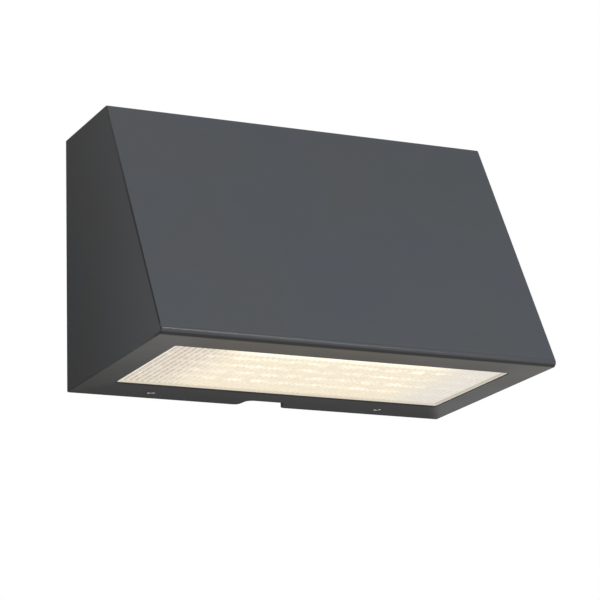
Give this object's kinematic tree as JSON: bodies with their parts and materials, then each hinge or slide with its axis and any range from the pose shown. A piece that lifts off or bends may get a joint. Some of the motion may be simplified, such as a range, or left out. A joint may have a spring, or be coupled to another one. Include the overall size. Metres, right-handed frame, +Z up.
{
  "type": "outdoor wall light",
  "caption": "Wedge-shaped outdoor wall light that shines down through a prismatic panel; its cast body pulls off a wall plate held by screws from below.",
  "frame": {"origin": "midway between the two wall slots, on the wall, halfway up the housing", "axes": "+Z up, -Y out of the wall to the light's front, +X to the right seen from the front"},
  "size_m": [0.26, 0.1561, 0.165],
  "materials": {
    "anthracite_coat": "die-cast aluminium with a fine satin anthracite powder coat",
    "zinc_steel": "bright zinc-plated pressed steel",
    "stainless": "plain stainless steel",
    "black_rubber": "soft black rubber",
    "grey_foam": "closed-cell foam strip",
    "clear_silicone": "translucent silicone",
    "prismatic_panel": "clear acrylic with moulded prisms, lit from above",
    "white_reflector": "matt white moulding",
    "tray_aluminium": "mill-finish aluminium sheet",
    "white_board": "white solder mask on an aluminium board",
    "warm_emitter": "yellow phosphor in a white package, lit",
    "connector_white": "white nylon",
    "pad_grey": "soft heat-conducting pad",
    "driver_white": "white moulded case",
    "green_board": "green circuit board",
    "component_black": "moulded and wound electrical parts",
    "terminal_nylon": "natural nylon",
    "brass": "plain brass",
    "tinned_copper": "tinned copper",
    "brown_lead": "brown insulation",
    "blue_lead": "blue insulation",
    "earth_insulation": "green and yellow insulation",
    "red_lead": "red insulation",
    "black_lead": "black insulation"
  },
  "bodies": {
    "wall_side": {"wall_plate": "zinc_steel", "cable_grommet": "black_rubber"},
    "light_body": {"housing": "anthracite_coat", "rear_seal": "grey_foam", "diffuser": "prismatic_panel", "diffuser_seal": "clear_silicone", "reflector": "white_reflector", "reflector_screws": "stainless", "led_board": "white_board", "led_emitters": "warm_emitter", "led_connector": "connector_white", "led_board_screws": "stainless", "thermal_pad": "pad_grey", "heat_tray": "tray_aluminium", "tray_screws": "stainless", "driver_base": "driver_white", "driver_cover": "driver_white", "driver_board": "green_board", "driver_components": "component_black", "driver_screws": "stainless", "terminal_block": "terminal_nylon", "terminal_tubes": "brass", "terminal_screws": "stainless", "terminal_fixings": "stainless", "earth_post": "brass", "earth_terminal": "tinned_copper", "earth_screw": "stainless", "live_lead": "brown_lead", "neutral_lead": "blue_lead", "earth_lead": "earth_insulation", "led_lead_positive": "red_lead", "led_lead_negative": "black_lead"},
    "left_screw": {"left_retaining_screw": "stainless"},
    "right_screw": {"right_retaining_screw": "stainless"},
    "left_nut": {"left_clamp_nut": "zinc_steel"},
    "right_nut": {"right_clamp_nut": "zinc_steel"}
  },
  "joints": [
    {"name": "light_body_pull", "type": "slide", "parent": "wall_side", "child": "light_body", "axis": [0, -1, 0], "range_m": [0, 0.06]},
    {"name": "left_screw_turn", "type": "hinge", "parent": "light_body", "child": "left_screw", "pos_m": [-0.079, -0.0125, -0.0825], "axis": [0, 0, -1], "range_deg": [0, 2160]},
    {"name": "left_nut_lift", "type": "slide", "parent": "light_body", "child": "left_nut", "axis": [0, 0, 1], "range_m": [0, 0.003]},
    {"name": "right_screw_turn", "type": "hinge", "parent": "light_body", "child": "right_screw", "pos_m": [0.079, -0.0125, -0.0825], "axis": [0, 0, -1], "range_deg": [0, 2160]},
    {"name": "right_nut_lift", "type": "slide", "parent": "light_body", "child": "right_nut", "axis": [0, 0, 1], "range_m": [0, 0.003]}
  ],
  "couplings": [
    {"joint": "left_screw_turn", "follows": "left_nut_lift", "rad_per_m": 12566},
    {"joint": "right_screw_turn", "follows": "right_nut_lift", "rad_per_m": 12566}
  ]
}
